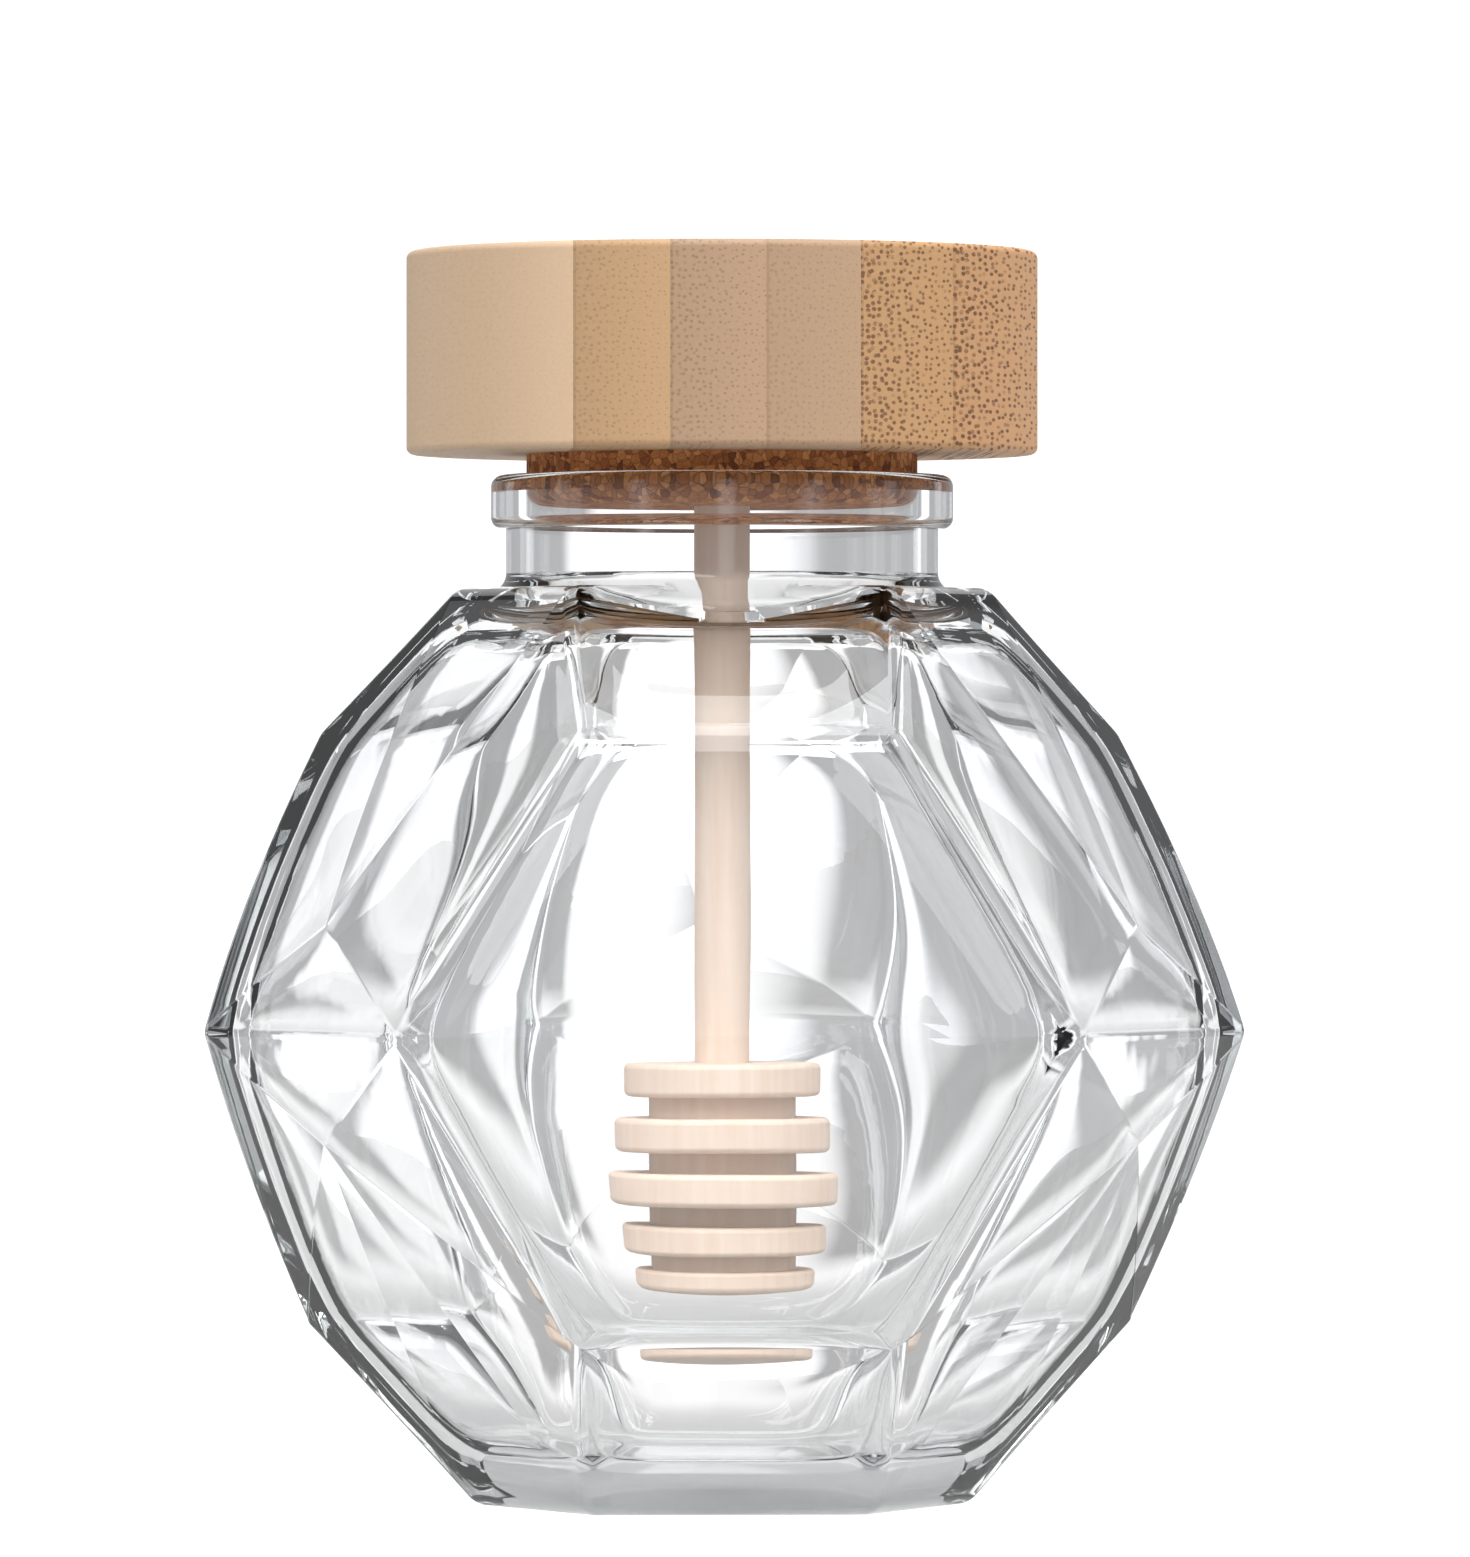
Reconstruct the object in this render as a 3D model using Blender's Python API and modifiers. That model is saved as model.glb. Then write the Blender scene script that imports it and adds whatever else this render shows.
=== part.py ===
"""A honey dispenser jar: faceted clear glass, a round bamboo lid on a cork plug, and a turned wooden dipper.

The jar stands at the origin with its base on z = 0. One of its three large hexagonal faces looks along -Y.
Its facets are found from a few corners and bow out a little, and a ball of one radius rounds every edge.
Lengths are in metres, so MM turns the millimetres of a drawing into the scene's own unit.
"""

import math

import bmesh
import bpy
from mathutils import Matrix, Vector

MM = 0.001

# Glass body, measured from its equator, where the hexagons have their side corners
EQUATOR_Z = 45.8 * MM
FACE_OUT = 39.8 * MM  # from the axis to the plane of a hexagon
HEX_HALF_WIDTH = 31.9 * MM  # from a hexagon's middle to its side corners
HEX_TOP_HALF = 16.4 * MM  # half of its upper and lower edges
HEX_RISE = 28.6 * MM
TIP_OUT, TIP_RISE = 45.0 * MM, 10.4 * MM  # upper and lower tips of a diamond
SHOULDER_OUT, SHOULDER_HALF, SHOULDER_RISE = 25.8 * MM, 19.0 * MM, 42.7 * MM
BASE_OUT, BASE_HALF, BASE_DROP = 23.4 * MM, 16.2 * MM, EQUATOR_Z
NARROWER_ABOVE = 0.085  # share that the finished body loses at HEX_RISE above its equator, which bows the facets
NARROWER_BELOW = 0.06  # and as far below it
EDGE_RADIUS = 2.4 * MM  # rounding of the outside edges
WALL = 4.0 * MM
FLOOR = 5.5 * MM  # glass under the hollow
HOLLOW_RADIUS = 5.0 * MM  # rounding of the hollow's edges
SIDES = 3  # hexagons round the jar, with as many diamonds between them

# Neck, as heights above the table and distances from the axis
SHOULDER_Z = EQUATOR_Z + SHOULDER_RISE
RIM_Z = 99.4 * MM
BEAD_BOTTOM_Z = 94.2 * MM
BEAD_OUT = 22.35 * MM
BEAD_ROUNDING = 1.1 * MM
NECK_OUT = 20.9 * MM
FOOT_RADIUS = 1.6 * MM  # fillet that turns the neck out over the shoulder
FOOT_RISE = 0.4 * MM  # height of a fillet's lower end over the level that it meets
FOOT_SLOPE = 50  # degrees below level at which a fillet's lower end dives into that level
FOOT_DEPTH = 3.0 * MM
BORE = 19.0 * MM
LIP_ROUNDING = 0.9 * MM
FLARE_RADIUS = 2.0 * MM  # fillet where the bore opens into the hollow

# Lid and cork
CORK_SHOWING = 2.0 * MM  # cork left above the rim when it is pushed home
CORK_HEIGHT = 5.0 * MM
CORK_TOP_OUT = 18.9 * MM
CORK_FIT_OUT = 18.6 * MM  # in the bore
CORK_BOTTOM_OUT = 18.3 * MM
CORK_ROUNDING = 1.8 * MM
LID_HEIGHT = 19.6 * MM
LID_OUT = 30.5 * MM
LID_EDGE = 0.7 * MM
GAP = 0.3 * MM  # between pieces that touch
OVERCUT = 2.0 * MM  # how far the bore's cutter starts above the rim

# Dipper
STICK_OUT = 2.7 * MM
SOCKET_DEPTH = 3.0 * MM  # how far the stick is let into the cork
DIPPER_DROP = 78.6 * MM  # from the cork's underside to the dipper's lower end
DISC_OUT = (9.45 * MM, 10.4 * MM, 11.25 * MM, 10.2 * MM, 9.1 * MM)  # from the top down
DISC_THICK = 3.2 * MM
DISC_PITCH = 5.2 * MM
GROOVE_OUT = 7.1 * MM
DISC_EDGE = 0.4 * MM
DIPPER_END_DROP = 0.9 * MM  # how far the rounded lower end bulges below the last disc
DIPPER_END_EDGE = 1.2 * MM
DIPPER_END_SHARES = (0.75, 0.5, 0.25, 0)  # of the bulge's radius, in to the axis

# Fineness of the meshes
TURN_STEPS = 64
DIPPER_STEPS = 36
ARC_STEP = math.radians(22.5)
BALL_DETAIL = 3
ONE_FACET = math.radians(1.5)  # a facet's corners may be this far from one plane
FLAT_WITHIN = math.radians(0.2)  # faces closer in slope than this become one
LEVEL_STEP = 8 * MM  # between the cuts that let the facets bow
STRAIGHT_DOWN = 0.99  # a normal that points down more than this belongs to the base
CREASE_OVER = math.radians(30)  # edges sharper than this keep a crisp shade
ON_PLANE = 0.001 * MM
SAME_CORNER = 0.05 * MM
SAME_POINT = 0.01 * MM
BLOCK_SIZE = 160 * MM  # the cube that the facets' planes are cut from


def clear_scene():
    for thing in list(bpy.data.objects):
        bpy.data.objects.remove(thing)


def collection(name):
    made = bpy.data.collections.new(name)
    bpy.context.scene.collection.children.link(made)
    return made


def material(name, colour, roughness, transmission=0.0):
    made = bpy.data.materials.new(name)
    made.use_nodes = True
    shader = made.node_tree.nodes["Principled BSDF"]
    shader.inputs["Base Color"].default_value = (*colour, 1.0)
    shader.inputs["Roughness"].default_value = roughness
    shader.inputs["Metallic"].default_value = 0.0
    shader.inputs["Transmission Weight"].default_value = transmission
    return made


def add_object(name, mesh, home, finish=None):
    made = bpy.data.objects.new(name, mesh)
    home.objects.link(made)
    if finish:
        mesh.materials.append(finish)
    return made


def hide(helper):
    """A cutter or a piece that a Boolean joins: kept for editing, never rendered."""
    helper.hide_render = True
    helper.display_type = "WIRE"
    return helper


def boolean(target, helper, operation, solver="EXACT"):
    modifier = target.modifiers.new(f"{operation.lower()} {helper.name}", "BOOLEAN")
    modifier.operation = operation
    modifier.object = helper
    modifier.solver = solver


def arc(out, height, radius, first, last):
    """Points (out, height) round a circle, from one angle to another in degrees, 0 outwards and 90 up."""
    first, last = math.radians(first), math.radians(last)
    steps = max(2, math.ceil(abs(last - first) / ARC_STEP))
    angles = [first + (last - first) * i / steps for i in range(steps + 1)]
    return [(out + radius * math.cos(a), height + radius * math.sin(a)) for a in angles]


def turned(name, profile, steps, home, finish=None):
    """A solid of revolution. The profile runs down its outer side and starts and ends on the axis."""
    mesh = bpy.data.meshes.new(name)
    points = [(out, 0.0, height) for out, height in profile]
    mesh.from_pydata(points, [(i, i + 1) for i in range(len(points) - 1)], [])
    made = add_object(name, mesh, home, finish)
    screw = made.modifiers.new("turn", "SCREW")
    screw.steps = screw.render_steps = steps
    screw.use_merge_vertices = True
    screw.merge_threshold = SAME_POINT
    screw.use_smooth_shade = True
    return made


def body_corners():
    """The corners of one hexagon, its ledge and its base edge, and a diamond's tips, SIDES times round the axis."""
    diamond_turn = math.radians(180 / SIDES)
    share = []
    for side in (-1, 1):
        share.append(Vector((side * HEX_HALF_WIDTH, -FACE_OUT, 0)))
        share.append(Vector((side * SHOULDER_HALF, -SHOULDER_OUT, SHOULDER_RISE)))
        share.append(Vector((side * BASE_HALF, -BASE_OUT, -BASE_DROP)))
        for way in (-1, 1):
            share.append(Vector((side * HEX_TOP_HALF, -FACE_OUT, way * HEX_RISE)))
    for way in (-1, 1):
        share.append(Matrix.Rotation(diamond_turn, 3, "Z") @ Vector((0, -TIP_OUT, way * TIP_RISE)))
    turns = [Matrix.Rotation(2 * math.pi * number / SIDES, 3, "Z") for number in range(SIDES)]
    return [turn @ corner for turn in turns for corner in share]


def body_planes():
    """The facets' planes, each as a point on it and its outward normal, from a skin over the corners."""
    skin = bmesh.new()
    for corner in body_corners():
        skin.verts.new(corner)
    bmesh.ops.convex_hull(skin, input=skin.verts)
    bmesh.ops.dissolve_limit(skin, angle_limit=ONE_FACET, verts=skin.verts, edges=skin.edges)
    bmesh.ops.recalc_face_normals(skin, faces=skin.faces)
    planes = [(face.calc_center_median(), face.normal.copy()) for face in skin.faces]
    skin.free()
    return planes


def cut_by(mesh, point, normal, clear_outer):
    """Cuts the whole mesh along a plane, and drops what lies beyond it where clear_outer is set."""
    bmesh.ops.bisect_plane(
        mesh,
        geom=mesh.verts[:] + mesh.edges[:] + mesh.faces[:],
        dist=ON_PLANE,
        plane_co=point,
        plane_no=normal,
        clear_outer=clear_outer,
    )


def corners_within(planes, inset, floor_inset):
    """The corners left of a block once each plane, moved inwards, has cut it."""
    block = bmesh.new()
    bmesh.ops.create_cube(block, size=BLOCK_SIZE)
    for point, normal in planes:
        moved = floor_inset if normal.z < -STRAIGHT_DOWN else inset
        cut_by(block, point - normal * moved, normal, True)
        bmesh.ops.holes_fill(block, edges=block.edges)
    bmesh.ops.remove_doubles(block, verts=block.verts, dist=SAME_CORNER)
    corners = [vertex.co.copy() for vertex in block.verts]
    block.free()
    return corners


def bow(body):
    """Cuts the body at level after level and narrows it away from its equator, so that its facets bow out."""
    levels = math.floor(SHOULDER_RISE / LEVEL_STEP)
    for level in range(-levels, levels + 1):
        cut_by(body, Vector((0, 0, level * LEVEL_STEP)), Vector((0, 0, 1)), False)
    for vertex in body.verts:
        share = NARROWER_ABOVE if vertex.co.z > 0 else NARROWER_BELOW
        kept = 1 - share * (vertex.co.z / HEX_RISE) ** 2
        vertex.co.x *= kept
        vertex.co.y *= kept


def rounded_body(name, planes, inset, floor_inset, radius, home, finish=None):
    """The facets moved inwards, with every edge and corner rounded: the hull of one ball at each corner."""
    ball = bmesh.new()
    bmesh.ops.create_icosphere(ball, subdivisions=BALL_DETAIL, radius=radius)
    hull = bmesh.new()
    for corner in corners_within(planes, inset + radius, floor_inset + radius):
        for vertex in ball.verts:
            hull.verts.new(corner + vertex.co)
    made = bmesh.ops.convex_hull(hull, input=hull.verts)
    inside = {item for item in made["geom_interior"] if isinstance(item, bmesh.types.BMVert)}
    bmesh.ops.delete(hull, geom=list(inside), context="VERTS")
    bmesh.ops.dissolve_limit(hull, angle_limit=FLAT_WITHIN, verts=hull.verts, edges=hull.edges)
    bow(hull)
    bmesh.ops.translate(hull, verts=hull.verts, vec=(0, 0, EQUATOR_Z))
    bmesh.ops.recalc_face_normals(hull, faces=hull.faces)
    mesh = bpy.data.meshes.new(name)
    hull.to_mesh(mesh)
    hull.free()
    ball.free()
    mesh.shade_smooth()
    mesh.set_sharp_from_angle(angle=CREASE_OVER)
    return add_object(name, mesh, home, finish)


def turned_out_foot(out, level, radius):
    """A fillet that turns a wall outwards above a level, runs on down through it, and ends on the axis."""
    slope = math.radians(FOOT_SLOPE)
    middle = level + FOOT_RISE + radius * math.cos(slope)
    fillet = arc(out + radius, middle, radius, 180, 270 - FOOT_SLOPE)
    end_out, end = fillet[-1]
    return [
        *fillet,
        (end_out + FOOT_DEPTH / math.tan(slope), end - FOOT_DEPTH),
        (0, end - FOOT_DEPTH),
    ]


def neck_profile():
    """The neck as a plug of glass, from the middle of the rim down to inside the body."""
    lip = arc(BEAD_OUT - BEAD_ROUNDING, RIM_Z - BEAD_ROUNDING, BEAD_ROUNDING, 90, 0)
    bead_under = arc(
        BEAD_OUT - BEAD_ROUNDING, BEAD_BOTTOM_Z + BEAD_ROUNDING, BEAD_ROUNDING, 0, -90
    )
    return [
        (0, RIM_Z),
        *lip,
        *bead_under,
        (NECK_OUT, BEAD_BOTTOM_Z),
        *turned_out_foot(NECK_OUT, SHOULDER_Z, FOOT_RADIUS),
    ]


def bore_profile():
    """What is cut from the neck: rounded out at the lip, and flared where it opens into the hollow."""
    above = RIM_Z + OVERCUT
    lip = arc(BORE + LIP_ROUNDING, RIM_Z - LIP_ROUNDING, LIP_ROUNDING, 90, 180)
    return [
        (0, above),
        (BORE + LIP_ROUNDING, above),
        *lip,
        *turned_out_foot(BORE, SHOULDER_Z - WALL, FLARE_RADIUS),
    ]


def lid_profile():
    bottom = RIM_Z + CORK_SHOWING
    top = bottom + LID_HEIGHT
    return [
        (0, top),
        *arc(LID_OUT - LID_EDGE, top - LID_EDGE, LID_EDGE, 90, 0),
        *arc(LID_OUT - LID_EDGE, bottom + LID_EDGE, LID_EDGE, 0, -90),
        (0, bottom),
    ]


def cork_profile():
    top = RIM_Z + CORK_SHOWING - GAP
    bottom = RIM_Z + CORK_SHOWING - CORK_HEIGHT
    corner = arc(
        CORK_BOTTOM_OUT - CORK_ROUNDING, bottom + CORK_ROUNDING, CORK_ROUNDING, 0, -90
    )
    socket_out = STICK_OUT + GAP
    socket_top = bottom + SOCKET_DEPTH
    return [
        (0, top),
        (CORK_TOP_OUT, top),
        (CORK_FIT_OUT, RIM_Z),
        *corner,
        (socket_out, bottom),
        (socket_out, socket_top),
        (0, socket_top),
    ]


def dipper_profile():
    """The stick, five discs with grooves between them, and a rounded lower end."""
    cork_bottom = RIM_Z + CORK_SHOWING - CORK_HEIGHT
    end = cork_bottom - DIPPER_DROP
    head_top = end + DIPPER_END_DROP + (len(DISC_OUT) - 1) * DISC_PITCH + DISC_THICK
    points = [(0, cork_bottom + SOCKET_DEPTH - GAP), (STICK_OUT, cork_bottom + SOCKET_DEPTH - GAP)]
    core = STICK_OUT
    for number, out in enumerate(DISC_OUT):
        top = head_top - number * DISC_PITCH
        bottom = top - DISC_THICK
        under = DIPPER_END_EDGE if number == len(DISC_OUT) - 1 else DISC_EDGE
        points += [
            (core, top),
            (out - DISC_EDGE, top),
            (out, top - DISC_EDGE),
            (out, bottom + under),
            (out - under, bottom),
        ]
        core = GROOVE_OUT
        if number < len(DISC_OUT) - 1:
            points.append((core, bottom))
    last = DISC_OUT[-1] - DIPPER_END_EDGE
    bulge = [(last * share, end + DIPPER_END_DROP * share**2) for share in DIPPER_END_SHARES]
    return points + bulge


def make_jar(home, cutters):
    glass = material("clear glass", (0.95, 0.97, 0.97), 0.02, transmission=1.0)
    planes = body_planes()
    jar = rounded_body("glass_jar", planes, 0, 0, EDGE_RADIUS, home, glass)
    neck = hide(turned("neck", neck_profile(), TURN_STEPS, cutters))
    hollow = hide(rounded_body("hollow", planes, WALL, FLOOR, HOLLOW_RADIUS, cutters))
    bore = hide(turned("bore", bore_profile(), TURN_STEPS, cutters))
    boolean(jar, hollow, "DIFFERENCE")
    boolean(jar, neck, "UNION")
    boolean(jar, bore, "DIFFERENCE", "MANIFOLD")
    return jar


def main():
    clear_scene()
    home = collection("honey_dispenser_jar")
    cutters = collection("cutters")
    make_jar(home, cutters)
    bamboo = material("bamboo", (0.60, 0.42, 0.24), 0.55)
    cork = material("cork", (0.38, 0.22, 0.11), 0.85)
    wood = material("pale wood", (0.82, 0.66, 0.50), 0.6)
    turned("bamboo_lid", lid_profile(), TURN_STEPS, home, bamboo)
    turned("cork_plug", cork_profile(), TURN_STEPS, home, cork)
    turned("dipper", dipper_profile(), DIPPER_STEPS, home, wood)


main()
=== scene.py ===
# %% [markdown]
# # A faceted honey jar with a bamboo lid and a wooden dipper
#
# The jar is pressed from thick clear glass, with large hexagons and diamonds round its sides.
# A round lid of laminated bamboo is glued to a cork plug, and the plug carries a turned wooden dipper.
# The lesson starts from plain solids that already have the true size and place.
# Each cell below makes one piece, one finish or a few helpers, and most print what they made.

# %% Load the plain solids and measure them
import math

import bpy
from mathutils import Matrix, Vector


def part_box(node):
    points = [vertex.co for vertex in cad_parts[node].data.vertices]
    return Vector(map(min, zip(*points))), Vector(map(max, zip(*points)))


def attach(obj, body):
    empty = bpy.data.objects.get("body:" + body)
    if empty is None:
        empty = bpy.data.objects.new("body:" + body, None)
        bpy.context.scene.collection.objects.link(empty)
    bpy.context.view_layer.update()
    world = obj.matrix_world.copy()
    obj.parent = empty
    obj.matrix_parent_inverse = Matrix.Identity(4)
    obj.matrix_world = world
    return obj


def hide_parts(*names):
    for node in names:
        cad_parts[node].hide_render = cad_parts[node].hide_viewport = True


MM = 0.001

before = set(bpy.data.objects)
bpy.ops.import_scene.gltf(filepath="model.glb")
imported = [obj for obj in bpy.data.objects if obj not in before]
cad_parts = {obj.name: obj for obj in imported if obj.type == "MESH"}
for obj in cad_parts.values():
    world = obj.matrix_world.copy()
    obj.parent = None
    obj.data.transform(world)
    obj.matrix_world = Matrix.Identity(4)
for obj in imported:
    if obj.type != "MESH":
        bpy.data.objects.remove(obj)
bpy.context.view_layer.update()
jar_low, jar_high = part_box("glass_jar")
lid_low, lid_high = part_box("bamboo_lid")
cork_low, cork_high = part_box("cork_plug")
dipper_low, dipper_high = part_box("dipper")
print("the jar reaches from", round(jar_low.z / MM, 1), "to", round(jar_high.z / MM, 1), "mm")
print("the lid's top is at", round(lid_high.z / MM, 1), "mm")

# %% [markdown]
# ## Small helpers
#
# A Blender operator acts on whatever is selected, and the loaded solids are still selected.
# So every new piece starts by deselecting everything.
# A finished piece gets its material, is tied to the object, and stands for the plain solid it replaces.


# %% Helpers for starting and finishing a piece
def start_fresh():
    """Leave edit mode and deselect everything, so that the next operator touches only its own piece."""
    if bpy.context.object and bpy.context.object.mode != "OBJECT":
        bpy.ops.object.mode_set(mode="OBJECT")
    bpy.ops.object.select_all(action="DESELECT")


def choose(piece):
    """Make one piece the only selected and active one."""
    start_fresh()
    piece.select_set(True)
    bpy.context.view_layer.objects.active = piece


def apply_place(piece):
    """Put the piece's place into its mesh, so that its object sits at the origin, unturned and unscaled."""
    choose(piece)
    bpy.ops.object.transform_apply(location=True, rotation=True, scale=True)


def apply_modifiers(piece):
    choose(piece)
    for name in [modifier.name for modifier in piece.modifiers]:
        bpy.ops.object.modifier_apply(modifier=name)


def hand_over(piece, node, finish):
    """Give the piece its finish and let it stand for a plain solid."""
    piece.data.materials.clear()
    piece.data.materials.append(finish)
    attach(piece, "root")
    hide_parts(node)
    triangles = sum(len(face.vertices) - 2 for face in piece.data.polygons)
    size = [round(side / MM, 1) for side in piece.dimensions]
    print(piece.name, "has", triangles, "triangles and measures", size, "mm")


# %% [markdown]
# ## The camera
#
# The photograph looks at one large hexagon, level with the upper half of the jar.
# The hexagon is turned a little from square on, so the camera stands a few degrees to its left.
# A long lens from 1.2 m away keeps the upright edges nearly parallel, as a product photographer would.
# The frame's width is given as a real size at the jar, and the lens follows from it.

# %% Place the camera
CAMERA_AWAY = 1.2
CAMERA_TURN = math.radians(-2.5)
CAMERA_SIDE = 1.26 * MM
CAMERA_HEIGHT = 70.1 * MM
CAMERA_NEAREST = 0.01  # nothing closer than this is drawn
VIEW_WIDTH = 142.1 * MM  # what the picture's width covers at the jar's axis
SENSOR_MM = 36


def place_camera():
    place = Matrix.Rotation(CAMERA_TURN, 3, "Z") @ Vector((CAMERA_SIDE, -CAMERA_AWAY, CAMERA_HEIGHT))
    bpy.ops.object.camera_add(location=place, rotation=(math.radians(90), 0, CAMERA_TURN))
    camera = bpy.context.active_object
    camera.data.sensor_fit = "HORIZONTAL"
    camera.data.sensor_width = SENSOR_MM
    camera.data.lens = SENSOR_MM * CAMERA_AWAY / VIEW_WIDTH
    camera.data.clip_start = CAMERA_NEAREST
    bpy.context.scene.camera = camera
    return camera


start_fresh()
camera = place_camera()
print("the lens is", round(camera.data.lens), "mm")

# %% [markdown]
# ## Turning on a lathe
#
# The neck, lid, cork and dipper are all round, so each starts as an outline on one side of the axis.
# One point is extruded along the outline, and the line is then spun round the Z axis.
# Where the outline meets the axis, the spin leaves many points in one place, and these are merged.

# %% A lathe made of extrude and spin
ARC_STEP = math.radians(7.5)
SAME_POINT = 0.002 * MM


def arc(out, height, radius, first, last):
    """Points (out, height) round a circle, from one angle to another in degrees, 0 outwards and 90 up."""
    first, last = math.radians(first), math.radians(last)
    steps = max(2, math.ceil(abs(last - first) / ARC_STEP))
    angles = [first + (last - first) * i / steps for i in range(steps + 1)]
    return [(out + radius * math.cos(a), height + radius * math.sin(a)) for a in angles]


def turn_on_lathe(name, outline, steps):
    """A closed round piece. The outline runs down its outer side, from the axis back to the axis."""
    start_fresh()
    first_out, first_height = outline[0]
    bpy.ops.mesh.primitive_plane_add(size=MM, location=(first_out, 0, first_height))
    piece = bpy.context.active_object
    piece.name = name
    bpy.ops.object.mode_set(mode="EDIT")
    bpy.ops.mesh.merge(type="CENTER")
    for (out, height), (next_out, next_height) in zip(outline, outline[1:]):
        step = (next_out - out, 0, next_height - height)
        bpy.ops.mesh.extrude_region_move(TRANSFORM_OT_translate={"value": step})
    bpy.ops.mesh.select_all(action="SELECT")
    bpy.ops.mesh.spin(steps=steps, angle=math.radians(360), center=(0, 0, 0), axis=(0, 0, 1))
    bpy.ops.mesh.select_all(action="SELECT")
    bpy.ops.mesh.remove_doubles(threshold=SAME_POINT)
    bpy.ops.mesh.normals_make_consistent(inside=False)
    bpy.ops.object.mode_set(mode="OBJECT")
    apply_place(piece)
    return piece


print("a quarter turn of an outline takes", len(arc(0, 0, MM, 0, 90)), "points")

# %% [markdown]
# ## The glass body's corners
#
# Three hexagons stand round the jar with a diamond between each two, and smaller facets
# close the form towards a ledge under the neck and towards the base.
# Each corner is one point of the mesh, and a skin stretched over the points gives every facet at once.
# That asks for far fewer numbers than drawing the faces, and no face can come out twisted.

# %% Stretch a skin over the corners
EQUATOR_Z = 45.8 * MM
FACE_OUT = 39.8 * MM  # from the axis to the plane of a hexagon
HEX_HALF_WIDTH = 31.9 * MM  # from a hexagon's middle to its side corners
HEX_TOP_HALF = 16.4 * MM  # half of its upper and lower edges
HEX_RISE = 28.6 * MM
TIP_OUT, TIP_RISE = 45.0 * MM, 10.4 * MM  # upper and lower tips of a diamond
SHOULDER_OUT, SHOULDER_HALF, SHOULDER_RISE = 25.8 * MM, 19.0 * MM, 42.7 * MM
BASE_OUT, BASE_HALF, BASE_DROP = 23.4 * MM, 16.2 * MM, EQUATOR_Z
SIDES = 3
ONE_FACET = math.radians(1.5)  # a facet's corners may be this far from one plane


def body_corners():
    """A hexagon's corners, those of its ledge and base, and a diamond's tips, SIDES times round the axis."""
    diamond_turn = math.radians(180 / SIDES)
    share = []
    for side in (-1, 1):
        share.append(Vector((side * HEX_HALF_WIDTH, -FACE_OUT, 0)))
        share.append(Vector((side * SHOULDER_HALF, -SHOULDER_OUT, SHOULDER_RISE)))
        share.append(Vector((side * BASE_HALF, -BASE_OUT, -BASE_DROP)))
        for way in (-1, 1):
            share.append(Vector((side * HEX_TOP_HALF, -FACE_OUT, way * HEX_RISE)))
    for way in (-1, 1):
        share.append(Matrix.Rotation(diamond_turn, 3, "Z") @ Vector((0, -TIP_OUT, way * TIP_RISE)))
    turns = [Matrix.Rotation(2 * math.pi * number / SIDES, 3, "Z") for number in range(SIDES)]
    return [turn @ corner for turn in turns for corner in share]


def skin_over_corners(name):
    """The body with sharp edges and its equator at height 0. A point is a plane merged to its middle."""
    start_fresh()
    corners = body_corners()
    bpy.ops.mesh.primitive_plane_add(size=MM, location=corners[0])
    skin = bpy.context.active_object
    skin.name = name
    bpy.ops.object.mode_set(mode="EDIT")
    bpy.ops.mesh.merge(type="CENTER")
    for corner in corners[1:]:
        bpy.ops.mesh.primitive_plane_add(size=MM, location=corner)
        bpy.ops.mesh.merge(type="CENTER")
    bpy.ops.mesh.select_all(action="SELECT")
    bpy.ops.mesh.convex_hull(use_existing_faces=False, join_triangles=False)
    bpy.ops.mesh.select_all(action="SELECT")
    bpy.ops.mesh.dissolve_limited(angle_limit=ONE_FACET)
    bpy.ops.mesh.select_all(action="SELECT")
    bpy.ops.mesh.normals_make_consistent(inside=False)
    bpy.ops.object.mode_set(mode="OBJECT")
    apply_place(skin)
    return skin


jar = skin_over_corners("jar_glass")
print("the skin has", len(jar.data.polygons), "facets and", len(jar.data.edges), "edges")

# %% [markdown]
# ## Rounded edges of one radius
#
# Pressed glass has no sharp edges: a mould's edges are rounded, and hot glass rounds them more.
# A bevel of one width would give shallow edges a huge radius and steep ones a small one.
# So each edge gets a weight from the angle between its two facets, and all come out at one radius.

# %% Bevel every edge by its own angle
EDGE_RADIUS = 2.4 * MM
EDGE_STEPS = 6


def edge_reaches(mesh):
    """For each edge, how far a rounding of radius 1 reaches from it into the facets beside it."""
    normals = {}
    for face in mesh.polygons:
        for key in face.edge_keys:
            normals.setdefault(key, []).append(face.normal)
    return [math.tan(normals[edge.key][0].angle(normals[edge.key][1]) / 2) for edge in mesh.edges]


def round_edges(piece, radius):
    reaches = edge_reaches(piece.data)
    furthest = max(reaches)
    weights = piece.data.attributes.new("bevel_weight_edge", "FLOAT", "EDGE")
    for weight, reach in zip(weights.data, reaches):
        weight.value = reach / furthest
    bevel = piece.modifiers.new("round", "BEVEL")
    bevel.limit_method = "WEIGHT"
    bevel.offset_type = "OFFSET"
    bevel.width = radius * furthest
    bevel.segments = EDGE_STEPS
    apply_modifiers(piece)
    return radius * furthest


widest = round_edges(jar, EDGE_RADIUS)
print("the steepest edge is rounded over", round(widest / MM, 2), "mm to each side")

# %% [markdown]
# ## Facets that bow out
#
# The jar's outline in the photograph runs in bowed lines, not in straight ones, so the facets bulge a little.
# The body is cut at level after level, and each level is narrowed by how far it is from the equator.
# Cutting first matters: without points in between, a facet could only move as a flat plate.

# %% Narrow the body away from its equator
NARROWER_ABOVE = 0.085  # share of its width that the body loses at HEX_RISE above the equator
NARROWER_BELOW = 0.06  # and as far below it
LEVEL_STEP = 2.5 * MM
ON_PLANE = 0.001 * MM


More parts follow.
